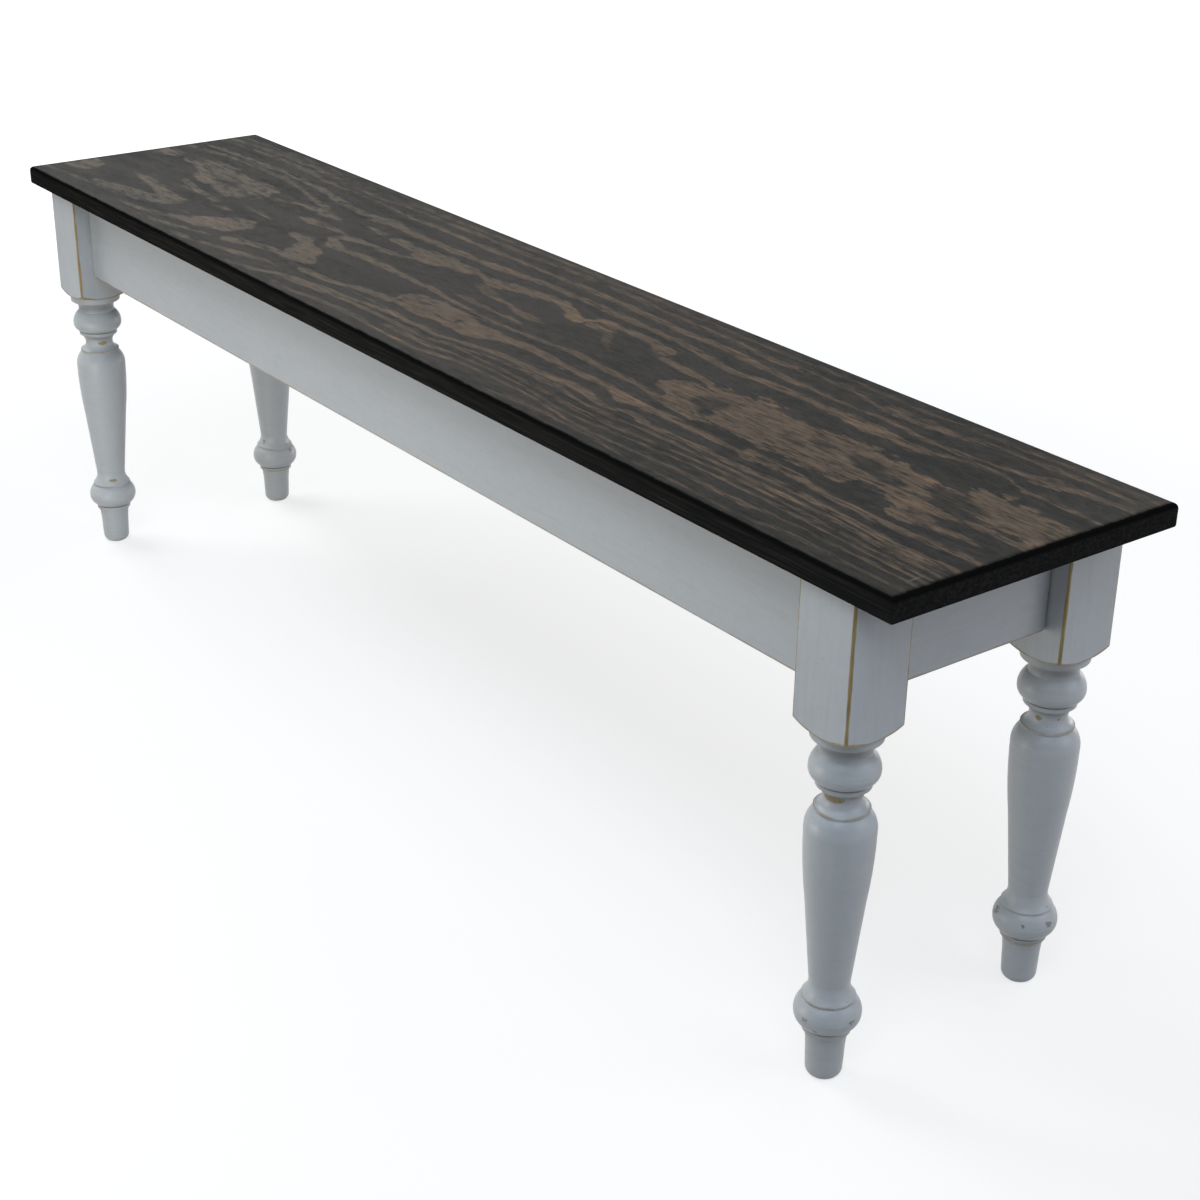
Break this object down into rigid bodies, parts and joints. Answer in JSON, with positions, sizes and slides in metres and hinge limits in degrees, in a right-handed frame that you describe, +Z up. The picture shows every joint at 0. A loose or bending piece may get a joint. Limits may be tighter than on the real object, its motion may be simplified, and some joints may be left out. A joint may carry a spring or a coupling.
{
  "type": "dining bench",
  "caption": "Farmhouse dining bench: a wide dark-stained plank seat on an apron frame with turned, square-topped painted legs.",
  "frame": {"origin": "centre of the seat's outline in plan, on the floor", "axes": "+Z up; +X along the bench; the front long side, as pictured, faces -Y"},
  "size_m": [1.385, 0.286, 0.437],
  "materials": {
    "stained_seat": "dark stain under a satin clear coat",
    "painted_frame": "pale satin paint, rubbed through to the wood along the edges",
    "bare_pine": "planed, unfinished",
    "zinc_steel": "zinc plated"
  },
  "bodies": {
    "root": {"seat_board": "stained_seat", "front_apron": "painted_frame", "back_apron": "painted_frame", "left_end_apron": "painted_frame", "right_end_apron": "painted_frame", "front_left_leg": "painted_frame", "front_right_leg": "painted_frame", "back_left_leg": "painted_frame", "back_right_leg": "painted_frame", "front_left_brace": "bare_pine", "front_right_brace": "bare_pine", "back_left_brace": "bare_pine", "back_right_brace": "bare_pine", "cross_rail": "bare_pine", "hanger_bolts": "zinc_steel", "bolt_washers": "zinc_steel", "bolt_nuts": "zinc_steel", "brace_screws": "zinc_steel", "seat_clips": "zinc_steel", "seat_clip_screws": "zinc_steel"}
  },
  "joints": []
}
